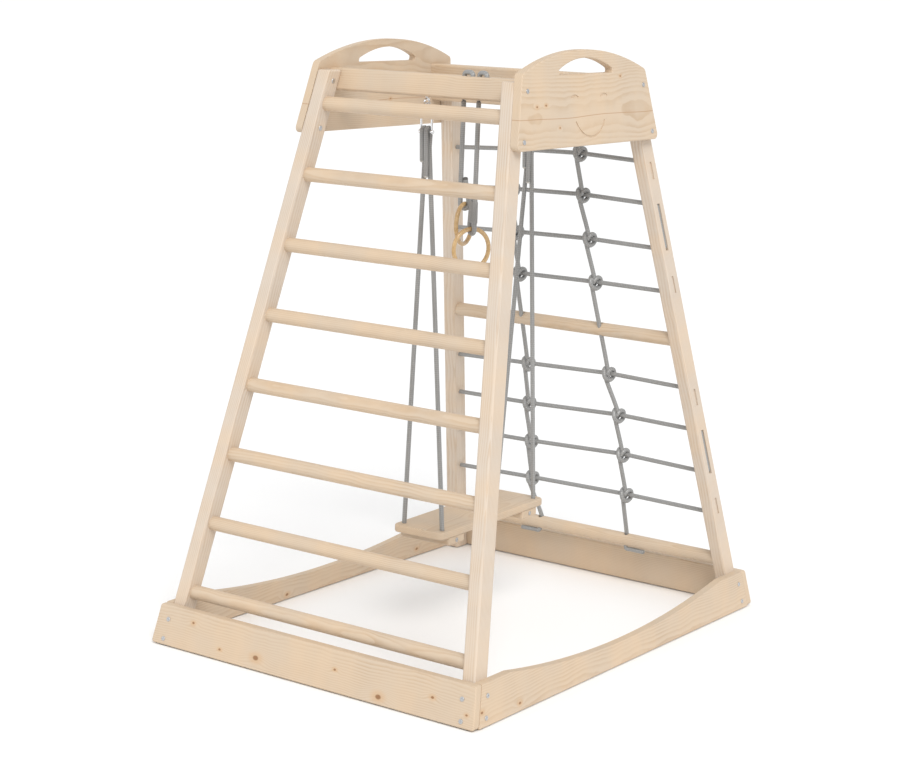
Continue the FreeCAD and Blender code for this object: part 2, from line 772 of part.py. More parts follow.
def ring_rope(hole, loop_start):
    """The free rope between the beam and a ring's loop, cut level just above the loop."""
    pivot = V(hole[0], hole[1], beam_low(-1) - ROPE_R - BODY_GAP)
    way = (loop_start - pivot).normalize()
    hanging = cylinder(pivot, loop_start + way * ROPE_D, ROPE_R).fuse(Part.makeSphere(ROPE_R, pivot))
    level = loop_start.z + BODY_GAP
    below = Part.makeBox(60, 60, 60, V(loop_start.x - 30, loop_start.y - 30, level - 60))
    return hanging.cut(below), pivot


# ---- build ----
def build_frame():
    net_tools = {-1: [], 1: []}
    cords = {"upper": [], "lower": []}
    for side, cord, points in net_bends():
        cords[cord].append(rope(points, TURN_R))
        net_tools[side].append(rope(points, TURN_R, ROPE_R + ROPE_FIT))
        if len(points) > 2:
            net_tools[side].append(groove(side, points))
    for row, down in ((0, -1), (3, 1), (4, -1), (7, 1)):
        net_tools[1].append(end_slot(1, NET_ROWS[row], down))
    for cord, bends in cords.items():
        export(group(bends), "net_cord_bends_" + cord)
    screws = {
        "panel_screws": panel_screws(),
        "side_board_screws": side_board_screws(),
        "end_board_screws": end_board_screws(),
        "beam_dowels": beam_dowels(),
    }
    nuts = panel_nuts()
    pins = [s for found in screws.values() for s in found]
    for node, found in screws.items():
        export(group(found), node)
    export(group([cut_near(nut, screws["panel_screws"]) for nut in nuts]), "panel_nuts")
    export(group(foot_pads()), "foot_pads")
    for side, end in corners_of_frame():
        post = leg(side, end)
        if end > 0:
            post = cut_all(post, net_tools[side])
        post = cut_near(post, pins + nuts)
        export(post, "leg_" + end_name(end) + "_" + side_name(side))
    for i, z in enumerate(rung_heights(-1)):
        export(rung(z, -1), "ladder_rung_%d" % (i + 1))
    tools = upright_tools(RIGHT_KNOTS, RIGHT_FOOT_X) + upright_tools(LEFT_KNOTS, LEFT_FOOT_X)
    export(cut_near(rung(MIDDLE_RUNG_Z, 1), tools), "net_middle_rung")
    export(cut_near(rung(BOTTOM_RUNG_Z, 1), tools), "net_bottom_rung")
    for end in (-1, 1):
        export(cut_near(end_board(end), pins), end_name(end) + "_base_board")
    for side in (-1, 1):
        export(cut_near(side_board(side), pins), side_name(side) + "_base_board")
        export(cut_near(top_panel(side), pins), side_name(side) + "_top_panel")
    for i, row in enumerate(NET_ROWS):
        export(net_row(row), "net_cord_row_%d" % (len(NET_ROWS) - i))
    export(net_upright(RIGHT_KNOTS, RIGHT_FOOT_X), "net_upright_right")
    export(net_upright(LEFT_KNOTS, LEFT_FOOT_X), "net_upright_left")
    ring_tops = [ring_rope_top(ring[1], ring[2]) for ring in RINGS]
    export(group([rope(points, ROPE_HUMP) for points in ring_tops]), "ring_rope_tops")
    eyes = [screw_eye(-1), screw_eye(1)]
    export(group(eyes), "swing_screw_eyes")
    holes = [rope(points, ROPE_HUMP, ROPE_R + ROPE_FIT) for points in ring_tops]
    for end in (-1, 1):
        export(cut_near(beam(end), pins + eyes + holes), end_name(end) + "_top_beam")


def cut_near(shape, tools):
    """Cuts only with the tools whose boxes meet the shape's box."""
    return cut_all(shape, [t for t in tools if t.BoundBox.intersect(shape.BoundBox)])


def side_name(side):
    return "left" if side < 0 else "right"


def end_name(end):
    return "front" if end < 0 else "back"


def build_swing():
    for end in (-1, 1):
        export(shackle(end), "swing_shackle_" + end_name(end))
        for side in (-1, 1):
            export(swing_rope(side, end), "swing_rope_%s_%s" % (end_name(end), side_name(side)))
    export(group([under_seat_rope(end) for end in (-1, 1)]), "swing_ropes_under_seat")
    screws = batten_screws()
    export(cut_near(swing_seat(), screws), "swing_seat")
    export(group([cut_near(seat_batten(end), screws) for end in (-1, 1)]), "swing_seat_battens")
    export(group(screws), "swing_batten_screws")
    for end in (-1, 1):
        print("swing pivot", end_name(end), [round(c, 1) for c in swing_pivot(end)])


def build_rings():
    for name, hole, _, top, heading, main, loop_top in RINGS:
        start = loop_points(top, heading, main, loop_top)[0]
        hanging, pivot = ring_rope(hole, start)
        export(hanging.removeSplitter(), "ring_rope_" + name)
        export(ring_loop(top, heading, main, loop_top).removeSplitter(), "ring_loop_" + name)
        export(gym_ring(top, heading), "gym_ring_" + name)
        print("ring pivot", name, [round(c, 1) for c in pivot], "turns at", [round(c, 1) for c in start])


build_frame()
build_swing()
build_rings()
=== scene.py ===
import math

import bpy
from mathutils import Matrix, Vector


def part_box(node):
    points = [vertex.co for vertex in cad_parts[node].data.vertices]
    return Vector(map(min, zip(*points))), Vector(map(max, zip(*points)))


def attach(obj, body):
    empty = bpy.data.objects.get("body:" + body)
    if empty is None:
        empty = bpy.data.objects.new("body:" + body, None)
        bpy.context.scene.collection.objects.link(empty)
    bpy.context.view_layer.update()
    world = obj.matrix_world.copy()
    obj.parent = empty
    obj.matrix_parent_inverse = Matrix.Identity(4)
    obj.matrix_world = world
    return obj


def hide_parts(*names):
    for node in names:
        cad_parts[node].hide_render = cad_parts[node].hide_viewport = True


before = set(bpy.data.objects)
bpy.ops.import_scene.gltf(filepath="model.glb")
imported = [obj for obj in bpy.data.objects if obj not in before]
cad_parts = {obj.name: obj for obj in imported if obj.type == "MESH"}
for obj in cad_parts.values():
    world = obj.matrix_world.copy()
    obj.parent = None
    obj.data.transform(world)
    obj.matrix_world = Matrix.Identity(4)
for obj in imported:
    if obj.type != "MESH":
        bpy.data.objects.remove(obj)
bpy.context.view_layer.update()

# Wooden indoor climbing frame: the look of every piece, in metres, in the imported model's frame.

ALONG_X = (1, 0, 0)
ALONG_Y = (0, 1, 0)
UPWARD = (0, 0, 1)
SIDES = ((-1, "left"), (1, "right"))
ENDS = ((-1, "front"), (1, "back"))

# ---- the object's own dimensions, as in the CAD ----
LEAN_X = 0.129
LEAN_Y = 0.2465
LEG_FACE_X = 0.4128
LEG_FACE_Y = 0.5442
LEG_X = 0.032
RUNG_COUNT = 8
RUNG_BACKSET = 0.024
BOTTOM_RUNG_Z = 0.1175
PANEL_SEAM_Z = 1.1655
BEAM_TOP = 1.236
BEAM_LOW = {-1: 1.189, 1: 1.152}
ROPE_R = 0.0051

# the net; each row, from the top: height at the left leg, left knot, right knot, height at the right leg
NET_ROWS = (
    (1.0419, (-0.0980, 1.0492), (0.0956, 1.0533), 1.0471),
    (0.9486, (-0.0990, 0.9554), (0.0927, 0.9588), 0.9528),
    (0.8480, (-0.1010, 0.8535), (0.0994, 0.8568), 0.8522),
    (0.7504, (-0.1052, 0.7534), (0.1040, 0.7556), 0.7538),
    (0.5262, (-0.1093, 0.5309), (0.1171, 0.5369), 0.5306),
    (0.4275, (-0.1195, 0.4287), (0.1336, 0.4371), 0.4318),
    (0.3281, (-0.1256, 0.3305), (0.1356, 0.3391), 0.3317),
    (0.2296, (-0.1345, 0.2337), (0.1344, 0.2367), 0.2329),
)
ROWS_PER_CORD = 4
CORD_SINK = 0.020
LEG_CLEAR = 0.001
GROOVE_SINK = 0.0056
GROOVE_BEND_R = 0.008
LEG_BEND_R = 0.08
KNOT_BEND_R = 0.3
FOOT_X = {"left": -0.121, "right": 0.123}
UPRIGHT_TIP = (0.001, 0.001, 0.010)
FOOT_ABOVE = (0, 0, 0.014)
FOOT_BELOW = (0, -0.001, -0.006)
FOOT_TAIL_DROP = 0.0206
FOOT_TAIL_FORWARD = 0.006
FOOT_TAIL_START = 0.004
FOOT_TAIL_WAVE = 0.001
FOOT_TAIL_REACHES = (0.016, 0.030, 0.044, 0.052)

# the swing
EYE_Y = {-1: -0.188, 1: 0.196}
PIN_DROP = 0.0735
PIN_CORNER = 0.0082
PIN_BEND_R = 0.00795
STRAND_GAP = 0.0053
STRAND_APART = 0.0052
STRAND_MEET_DROP = 0.034
STRAND_BEND_R = 0.03
TAIL_Z = {-1: 1.056, 1: 1.024}
SEAT_TOP = 0.263
SEAT_T = 0.017
SEAT_MIDDLE = (0.006, 0.0045)
SEAT_TURN = math.radians(2.0)
SEAT_HOLE = (0.050, 0.185)
SEAT_ROPE_SINK = 0.001
SEAT_ROPE_RISE = 0.0053
SEAT_ROPE_BEND_R = 0.006

# the gym rings: the rope's hole in the beam and its hole behind, the middle of the ring's wood at its top,
# the way the ring's plane runs in degrees, the side the hanging strand is on and the height the loop starts at
RINGS = {
    "left": {
        "hole": (0.090, -0.182), "back": (0.1155, -0.1875), "top": (0.0985, -0.1805, 0.9725),
        "heading": 102.5, "main": -1, "loop_top": 1.027,
    },
    "right": {
        "hole": (0.1275, -0.1815), "back": (0.150, -0.1865), "top": (0.1335, -0.2015, 0.925),
        "heading": 66.5, "main": 1, "loop_top": 1.012,
    },
}
RING_REACH = 0.0099
RING_PIVOT_DROP = 0.0053
RING_TOPS_RISE = 0.008
RING_TOPS_SINK = 0.016
RING_TOPS_BEND_R = 0.008
LOOP_PARTS = 12
LOOP_TAIL_SHIFT = 0.0003
LOOP_TAIL_SHORT = 0.004
# the twine on each ring's loop: its middle's height and its length
WHIPPING = {"left": (0.996, 0.007), "right": (0.960, 0.044)}
TWINE_R = 0.0008
TWINE_PITCH = 2.1 * TWINE_R
TWINE_OUT = 0.6 * TWINE_R

# how finely the ropes are divided, and how far their cut ends reach and how wide they are in rope widths
ROPE_STEP = 0.004
FINE_STEP = 0.0025
LOOP_STEP = 0.002
ARC_STEP = 0.0015
CURVE_PARTS = 7
END_SINK = 0.0005
END_PROUD = 0.002
MELTED_WIDTH = 0.93
FRAYED_WIDTH = 1.05
# the rounded end of a rope: how far past its last point and how wide, in rope radii
ROUNDED_END = ((0.55, 0.5), (0.3, 0.86))
SIDES_OF_ROPE = 16
SIDES_OF_TWINE = 8
COIL_PARTS = 28
COIL_SQUARENESS = 3


def face_x(z):
    return LEG_FACE_X - LEAN_X * z


def face_y(z):
    return LEG_FACE_Y - LEAN_Y * z


def inner_x(z):
    return face_x(z) - LEG_X


def net_y(z):
    return face_y(z) - RUNG_BACKSET


# ---- node materials ----
class Shader:
    """A material being built out of nodes."""

    def __init__(self, name):
        self.material = bpy.data.materials.new(name)
        self.material.use_nodes = True
        self.tree = self.material.node_tree
        self.surface = self.tree.nodes["Principled BSDF"]

    def put(self, node, key, value):
        if isinstance(value, bpy.types.NodeSocket):
            self.tree.links.new(value, node.inputs[key])
        else:
            node.inputs[key].default_value = value

    def add(self, kind, inputs, output=0, **settings):
        node = self.tree.nodes.new(kind)
        for name, value in settings.items():
            setattr(node, name, value)
        for key, value in inputs.items():
            self.put(node, key, value)
        return node.outputs[output]

    def coordinates(self, kind="Object"):
        return self.add("ShaderNodeTexCoord", {}, output=kind)

    def math(self, operation, a, b=0.0):
        return self.add("ShaderNodeMath", {0: a, 1: b}, operation=operation)

    def times(self, a, b):
        return self.math("MULTIPLY", a, b)

    def plus(self, a, b):
        return self.math("ADD", a, b)

    def dot(self, vector, direction):
        inputs = {0: vector, 1: tuple(direction)}
        return self.add("ShaderNodeVectorMath", inputs, output="Value", operation="DOT_PRODUCT")

    def length(self, vector):
        return self.add("ShaderNodeVectorMath", {0: vector}, output="Value", operation="LENGTH")

    def minus(self, vector, point):
        return self.add("ShaderNodeVectorMath", {0: vector, 1: tuple(point)}, operation="SUBTRACT")

    def join(self, x, y, z):
        return self.add("ShaderNodeCombineXYZ", {0: x, 1: y, 2: z})

    def noise(self, vector, scale, detail=3.0):
        inputs = {"Vector": vector, "Scale": scale, "Detail": detail, "Roughness": 0.55}
        return self.add("ShaderNodeTexNoise", inputs, output="Fac")

    def ramp(self, value, low, high, to_low=0.0, to_high=1.0):
        inputs = {"Value": value, "From Min": low, "From Max": high, "To Min": to_low, "To Max": to_high}
        return self.add("ShaderNodeMapRange", inputs, interpolation_type="SMOOTHSTEP")

    def mix(self, fac, a, b):
        return self.add("ShaderNodeMix", {0: fac, 6: a, 7: b}, output=2, data_type="RGBA")

    def set(self, key, value):
        self.put(self.surface, key, value)

    def bump(self, height, strength, distance):
        inputs = {"Height": height, "Strength": strength, "Distance": distance}
        self.set("Normal", self.add("ShaderNodeBump", inputs))


def rgb(r, g, b):
    return (r, g, b, 1.0)


def grey_tone(level):
    return rgb(level, level, level)


def centre_of(node):
    low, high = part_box(node)
    return (low + high) / 2


PALE = rgb(0.61, 0.495, 0.375)
CREAM = rgb(0.64, 0.555, 0.468)
LATE = rgb(0.46, 0.31, 0.18)
WARM = rgb(0.74, 0.53, 0.33)
FIBRE = rgb(0.55, 0.36, 0.2)
KNOT_RIM = rgb(0.6, 0.36, 0.17)
KNOT = rgb(0.27, 0.13, 0.055)
GLUE_LINE = rgb(0.42, 0.23, 0.12)
HONEY = rgb(0.50, 0.31, 0.13)
PALE_HONEY = rgb(0.66, 0.46, 0.23)
# the width of a year's growth, and how far the pattern is shifted for each metre of pith
RINGS_IN_BOARDS = 0.0034
RINGS_IN_RUNGS = 0.0038
RINGS_IN_LEGS = 0.0042
SHIFT_PER_PITH = 226.3


class Lie:
    """How a piece is cut: u runs along the grain, v and w across it, from the piece's middle."""

    def __init__(self, shader, middle, grain, across):
        self.grain = Vector(grain).normalized()
        self.up = self.grain.cross(Vector(across)).normalized()
        self.side = self.up.cross(self.grain)
        self.raw = shader.coordinates()
        place = shader.minus(self.raw, middle)
        self.u = shader.dot(place, self.grain)
        self.v = shader.dot(place, self.side)
        self.w = shader.dot(place, self.up)


def knot_distance(s, lie, spot, squeeze):
    """The distance from a knot's middle, squeezed along the grain so that the knot is longer that way."""
    offset = s.minus(lie.raw, spot)
    along = s.times(s.dot(offset, lie.grain), squeeze)
    return s.length(s.join(along, s.dot(offset, lie.side), s.dot(offset, lie.up)))


def year_lines(s, lie, pith, knots, ring):
    """The dark late wood of each year, in rings round the tree's heart that bend round the knots."""
    shift = SHIFT_PER_PITH * (abs(pith[0]) + abs(pith[1]))
    slow = s.noise(s.join(s.plus(lie.u, shift), lie.v, lie.w), 2.4, 2.0)
    wave = s.noise(s.join(s.times(lie.u, 1.7), s.plus(lie.v, shift), lie.w), 9.0, 2.0)
    bend = s.plus(s.times(slow, 0.026), s.times(wave, 0.004))
    for spot, size in knots:
        away = knot_distance(s, lie, spot, 0.45)
        bend = s.plus(bend, s.ramp(away, size * 4, 0.0, 0.0, size * 1.3))
    from_v = s.math("POWER", s.math("SUBTRACT", lie.v, pith[0]), 2.0)
    from_w = s.math("POWER", s.math("SUBTRACT", lie.w, pith[1]), 2.0)
    reach = s.math("SQRT", s.plus(from_v, from_w))
    year = s.math("FRACT", s.math("DIVIDE", s.plus(reach, bend), ring))
    return s.times(s.ramp(year, 0.25, 0.88), s.ramp(year, 1.0, 0.9))


def with_knots(s, lie, colour, knots):
    for spot, size in knots:
        away = knot_distance(s, lie, spot, 0.7)
        colour = s.mix(s.ramp(away, size * 3.0, size, 0.0, 0.4), colour, KNOT_RIM)
        colour = s.mix(s.ramp(away, size, size * 0.55, 0.0, 0.9), colour, KNOT)
    return colour


def with_seam(s, lie, colour, height):
    """The glue line between a panel's two boards, which wanders a little."""
    along = s.join(0.0, s.dot(lie.raw, ALONG_Y), 0.0)
    wander = s.times(s.noise(along, 4.0, 1.0), 0.012)
    gap = s.math("ABSOLUTE", s.math("SUBTRACT", s.plus(s.dot(lie.raw, UPWARD), wander), height))
    return s.mix(s.ramp(gap, 0.0012, 0.0003, 0.0, 0.7), colour, GLUE_LINE)


def wood(name, middle, grain, across, pith, pale=PALE, knots=(), seam=None, ring=RINGS_IN_BOARDS):
    """Planed conifer wood; grain and across are directions, pith is the tree's heart, from middle."""
    s = Shader(name)
    lie = Lie(s, middle, grain, across)
    line = year_lines(s, lie, pith, knots, ring)
    patches = s.noise(s.join(s.times(lie.u, 0.8), lie.v, lie.w), 14.0)
    colour = s.mix(s.times(line, s.ramp(patches, 0.3, 0.75, 0.16, 0.5)), pale, LATE)
    clouds = s.noise(s.join(s.times(lie.u, 2.0), s.plus(lie.v, 3.1), lie.w), 5.0)
    colour = s.mix(s.ramp(clouds, 0.35, 0.75, 0.0, 0.32), colour, WARM)
    threads = s.join(s.times(lie.u, 9.0), s.times(lie.v, 620), s.times(lie.w, 620))
    fibre = s.noise(threads, 1.0, 2.0)
    colour = s.mix(s.ramp(fibre, 0.52, 0.8, 0.0, 0.14), colour, FIBRE)
    colour = with_knots(s, lie, colour, knots)
    if seam is not None:
        colour = with_seam(s, lie, colour, seam)
    s.set("Base Color", colour)
    s.set("Roughness", s.ramp(fibre, 0.3, 0.8, 0.5, 0.62))
    s.set("Specular IOR Level", 0.35)
    s.bump(s.plus(fibre, s.times(line, 0.6)), 0.12, 0.0006)
    return s.material


def lacquer(name, middle, across):
    """Turned hardwood under a thick honey lacquer."""
    s = Shader(name)
    place = s.minus(s.coordinates(), middle)
    upward = s.dot(place, UPWARD)
    outward = s.dot(place, across)
    turn = s.math("ARCTAN2", upward, outward)
    streak = s.noise(s.join(s.times(upward, 30), s.times(turn, 2.0), s.times(outward, 260)), 3.0)
    s.set("Base Color", s.mix(s.ramp(streak, 0.3, 0.7), HONEY, PALE_HONEY))
    s.set("Roughness", 0.22)
    s.set("Coat Weight", 0.6)
    s.set("Coat Roughness", 0.12)
    s.bump(streak, 0.06, 0.0008)
    return s.material


def braid(name, tone, pitch=0.0085, strands=8.0):
    """Braided cord, on a tube whose UV map gives metres along it and turns around it."""
    s = Shader(name)
    parts = s.tree.nodes.new("ShaderNodeSeparateXYZ")
    s.put(parts, 0, s.coordinates("UV"))
    metres, turns = parts.outputs[0], parts.outputs[1]
    along = s.times(metres, math.tau / pitch)
    around = s.times(turns, math.tau * strands / 2)
    one = s.math("SINE", s.plus(along, around))
    two = s.math("SINE", s.math("SUBTRACT", along, around))
    weave = s.times(one, two)
    over = s.ramp(weave, -0.9, 0.9)
    fuzz = s.noise(s.join(s.times(metres, 900), s.times(turns, 22), 0.0), 1.0)
    dark = rgb(tone * 0.72, tone * 0.71, tone * 0.69)
    light = rgb(tone * 1.06, tone * 1.07, tone * 1.06)
    s.set("Base Color", s.mix(s.times(over, s.ramp(fuzz, 0.2, 0.7, 0.6, 1.0)), dark, light))
    s.set("Roughness", 0.3)
    s.set("Specular IOR Level", 0.75)
    s.bump(s.plus(weave, s.times(fuzz, 0.35)), 0.2, 0.0008)
    return s.material


def metal(name, tone, rough):
    s = Shader(name)
    mottle = s.noise(s.coordinates(), 420.0)
    dull = rgb(tone * 0.9, tone * 0.92, tone * 0.96)
    s.set("Base Color", s.mix(mottle, dull, grey_tone(tone)))
    s.set("Metallic", 1.0)
    s.set("Roughness", s.ramp(mottle, 0.3, 0.7, rough * 0.8, rough * 1.25))
    s.bump(mottle, 0.05, 0.0003)
    return s.material


def matt(name, colour, scale, rough=0.9):
    s = Shader(name)
    grains = s.noise(s.coordinates(), scale, 4.0)
    shade = tuple(c * 0.75 for c in colour[:3]) + (1.0,)
    s.set("Base Color", s.mix(grains, shade, colour))
    s.set("Roughness", rough)
    s.bump(grains, 0.3, 0.001)
    return s.material


def dress(node, material):
    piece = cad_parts[node]
    piece.data.materials.clear()
    piece.data.materials.append(material)


# ---- tubes for ropes ----
def bent(corners, radius):
    """Points along straight runs between corners, joined by arcs of one radius or of a list of them."""
    corners = [Vector(c) for c in corners]
    radii = radius if isinstance(radius, (list, tuple)) else [radius] * (len(corners) - 2)
    points = [corners[0]]
    for before, corner, after, r in zip(corners, corners[1:], corners[2:], radii):
        back = (before - corner).normalized()
        ahead = (after - corner).normalized()
        half = back.angle(ahead) / 2
        middle = (back + ahead).normalized()
        centre = corner + middle * (r / math.sin(half))
        start = corner + back * (r / math.tan(half))
        normal = back.cross(ahead).normalized()
        sweep = math.pi - 2 * half
        arm = start - centre
        count = max(4, int(sweep * r / ARC_STEP))
        for i in range(count + 1):
            points.append(centre + Matrix.Rotation(-sweep * i / count, 3, normal) @ arm)
    points.append(corners[-1])
    return points


def smooth(points):
    """A curve through every point."""
    points = [Vector(p) for p in points]
    ends = [points[0] * 2 - points[1]] + points + [points[-1] * 2 - points[-2]]
    found = []
    for a, b, c, d in zip(ends, ends[1:], ends[2:], ends[3:]):
        for i in range(CURVE_PARTS):
            t = i / CURVE_PARTS
            square = (2 * a - 5 * b + 4 * c - d) * t ** 2
            cube = (3 * b - a - 3 * c + d) * t ** 3
            found.append(0.5 * ((2 * b) + (c - a) * t + square + cube))
    found.append(points[-1])
    return found


def even(points, step=ROPE_STEP):
    """The same line with points at most step apart."""
    found = [points[0]]
    for a, b in zip(points, points[1:]):
        count = max(1, int(math.ceil((b - a).length / step)))
        for i in range(1, count + 1):
            found.append(a.lerp(b, i / count))
    return found


def sections_of(points, radius):
    """A tube's sections: middle, two directions across, radius and run; they keep square to the line."""
    line = [p for i, p in enumerate(points) if i == 0 or (p - points[i - 1]).length > 1e-6]
    forward = [(b - a).normalized() for a, b in zip(line, line[1:])]
    turns = [(a + b).normalized() for a, b in zip(forward, forward[1:])]
    forward = [forward[0]] + turns + [forward[-1]]
    first = forward[0].orthogonal().normalized()
    sections = []
    run = 0.0
    for i, point in enumerate(line):
        if i:
            run += (point - line[i - 1]).length
            first = (first - forward[i] * first.dot(forward[i])).normalized()
        sections.append((point, first.copy(), forward[i].cross(first), radius, run))
    start, end = [], []
    for past, size in ROUNDED_END:
        past, size = past * radius, size * radius
        start.append((line[0] - forward[0] * past, sections[0][1], sections[0][2], size, -past))
        end.insert(0, (line[-1] + forward[-1] * past, sections[-1][1], sections[-1][2], size, run + past))
    return start + sections + end, run


def tube_shape(points, radius, around=SIDES_OF_ROPE):
    """Vertices, faces and UVs of a tube along the line, with rounded ends."""
    sections, run = sections_of(points, radius)
    vertices, faces, uvs = [], [], []
    for point, a, b, size, _ in sections:
        for k in range(around):
            turn = math.tau * k / around
            vertices.append(point + (a * math.cos(turn) + b * math.sin(turn)) * size)
    for i in range(len(sections) - 1):
        u, next_u = sections[i][4], sections[i + 1][4]
        this, following = i * around, (i + 1) * around
        for k in range(around):
            after = (k + 1) % around
            v, next_v = k / around, (k + 1) / around
            faces.append((this + k, this + after, following + after, following + k))
            uvs.append([(u, v), (u, next_v), (next_u, next_v), (next_u, v)])
    last = (len(sections) - 1) * around
    faces.append(tuple(range(around - 1, -1, -1)))
    faces.append(tuple(range(last, last + around)))
    uvs.append([(0, k / around) for k in range(around)])
    uvs.append([(run, k / around) for k in range(around)])
    return vertices, faces, uvs


def coil_shape(centre, axis, long_way, spread, radius, length, turns, wire):
    """A thin cord wound round two strands that lie spread apart along long_way."""
    axis = Vector(axis).normalized()
    a = Vector(long_way).normalized()
    b = axis.cross(a)
    points = []
    count = int(turns * COIL_PARTS)
    for i in range(count + 1):
        turn = math.tau * turns * i / count
        side = math.copysign(spread / 2, math.cos(turn)) * min(1.0, abs(math.cos(turn)) * COIL_SQUARENESS)
        out = a * (side + radius * math.cos(turn)) + b * radius * math.sin(turn)
        points.append(Vector(centre) + axis * (length * (i / count - 0.5)) + out)
    return tube_shape(points, wire, SIDES_OF_TWINE)


def make_mesh(name, shapes, material, body):
    """One object out of several tube shapes, riding on a body."""
    vertices, faces, uvs = [], [], []
    for points, shape_faces, shape_uvs in shapes:
        base = len(vertices)
        vertices += [tuple(p) for p in points]
        faces += [tuple(v + base for v in face) for face in shape_faces]
        uvs += shape_uvs
    mesh = bpy.data.meshes.new(name)
    mesh.from_pydata(vertices, [], faces)
    layer = mesh.uv_layers.new(name="UVMap")
    flat = [uv for face in uvs for uv in face]
    for loop, uv in zip(layer.data, flat):
        loop.uv = uv
    mesh.materials.append(material)
    mesh.polygons.foreach_set("use_smooth", [True] * len(mesh.polygons))
    mesh.update()
    piece = bpy.data.objects.new(name, mesh)
    bpy.context.scene.collection.objects.link(piece)
    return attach(piece, body)


def make_rope(name, path, material, body):
    return make_mesh(name, [tube_shape(path, ROPE_R)], material, body)


# ---- wood ----
# the knots in each board's wood: place and radius
WOOD_KNOTS = {
    "front_base_board": (
        ((-0.1356, -0.5563, 0.0282), 0.0064), ((0.1912, -0.5586, 0.0188), 0.0062),
        ((-0.3193, -0.5475, 0.0639), 0.0030), ((-0.2357, -0.5570, 0.0252), 0.0028),
        ((0.0731, -0.5514, 0.0479), 0.0028), ((0.3212, -0.5519, 0.0460), 0.0034),
        ((0.4070, -0.5558, 0.0302), 0.0026),
    ),
    "left_base_board": (((-0.4109, -0.1317, 0.0145), 0.0042), ((-0.4101, 0.3663, 0.0208), 0.0040)),
    "right_base_board": (((0.4256, -0.5301, 0.0326), 0.0034), ((0.4274, -0.4008, 0.0184), 0.0034)),
    "left_top_panel": (((-0.262, 0.028, 1.161), 0.0026),),
    "right_top_panel": (
        ((0.2786, -0.1923, 1.1835), 0.0026), ((0.2784, -0.1595, 1.1855), 0.0026),
        ((0.2717, 0.1307, 1.2369), 0.0024), ((0.2844, -0.1140, 1.1389), 0.0022),
    ),
}
# where the tree's heart lies off the middle of each piece whose grain runs along X
PITH = {
    "net_middle_rung": (0.02, 0.013), "net_bottom_rung": (-0.017, 0.018),
    "front_base_board": (0.09, 0.05), "back_base_board": (-0.08, 0.06),
    "front_top_beam": (0.05, 0.04), "back_top_beam": (-0.07, 0.045),
    "swing_seat_battens": (0.02, 0.05), "beam_dowels": (0.01, 0.01),
}


def dress_plank(node, grain, across, pith, **look):
    dress(node, wood(node, centre_of(node), grain, across, pith, **look))


def dress_side(side, hand):
    for end, face in ENDS:
        grain = (-side * LEAN_X, -end * LEAN_Y, 1)
        pith = (0.034 * side + 0.006 * end, 0.041 * end)
        dress_plank("leg_%s_%s" % (face, hand), grain, ALONG_X, pith, pale=CREAM, ring=RINGS_IN_LEGS)
    board = hand + "_base_board"
    dress_plank(board, ALONG_Y, ALONG_X, (0.11 * side, 0.04), knots=WOOD_KNOTS[board])
    panel = hand + "_top_panel"
    pith = (-0.13 * side, 0.05 * side)
    dress_plank(panel, ALONG_Y, ALONG_X, pith, knots=WOOD_KNOTS[panel], seam=PANEL_SEAM_Z)


def dress_wood():
    for side, hand in SIDES:
        dress_side(side, hand)
    for i in range(RUNG_COUNT):
        pith = (0.021 * math.cos(i * 2.1) + 0.004, 0.024 * math.sin(i * 1.7))
        dress_plank("ladder_rung_%d" % (i + 1), ALONG_X, ALONG_Y, pith, ring=RINGS_IN_RUNGS)
    for node, pith in PITH.items():
        dress_plank(node, ALONG_X, ALONG_Y, pith, knots=WOOD_KNOTS.get(node, ()))
    turned = (-math.sin(SEAT_TURN), math.cos(SEAT_TURN), 0)
    dress_plank("swing_seat", turned, ALONG_X, (0.03, -0.07))


ZINC_NODES = (
    "panel_screws", "side_board_screws", "end_board_screws", "panel_nuts", "swing_batten_screws",
)
BRIGHT_NODES = ("swing_screw_eyes", "swing_shackle_front", "swing_shackle_back")


def dress_fittings():
    zinc = metal("zinc", 0.6, 0.36)
    bright = metal("bright_steel", 0.88, 0.16)
    for node in ZINC_NODES:
        dress(node, zinc)
    for node in BRIGHT_NODES:
        dress(node, bright)
    dress("foot_pads", matt("felt", rgb(0.3, 0.27, 0.24), 900.0))
    for hand, ring in RINGS.items():
        turn = math.radians(ring["heading"])
        node = "gym_ring_" + hand
        dress(node, lacquer(node, centre_of(node), (math.cos(turn), math.sin(turn), 0)))


# ---- net ----
# a clove hitch's places: the turn round the row in degrees, then along the row and out from it in rope radii
HITCH = (
    (-66, 0.35, 2.60), (-28, -0.25, 2.30), (15, -0.85, 2.15), (60, -1.20, 2.15), (110, -1.35, 2.20),
    (170, -1.40, 2.20), (230, -1.40, 2.25), (280, -1.25, 2.60), (322, -0.70, 3.40), (366, 0.25, 3.85),
    (408, 1.05, 3.20), (450, 1.45, 2.45), (500, 1.55, 2.20), (560, 1.50, 2.20), (620, 1.40, 2.15),
    (668, 1.05, 2.15), (706, 0.35, 2.30), (748, -0.50, 2.60),
)


def net_point(x, z):
    return Vector((x, net_y(z), z))


def groove_x(z):
    return face_x(z) - GROOVE_SINK


def row_z(row, side):
    return row[0] if side < 0 else row[3]


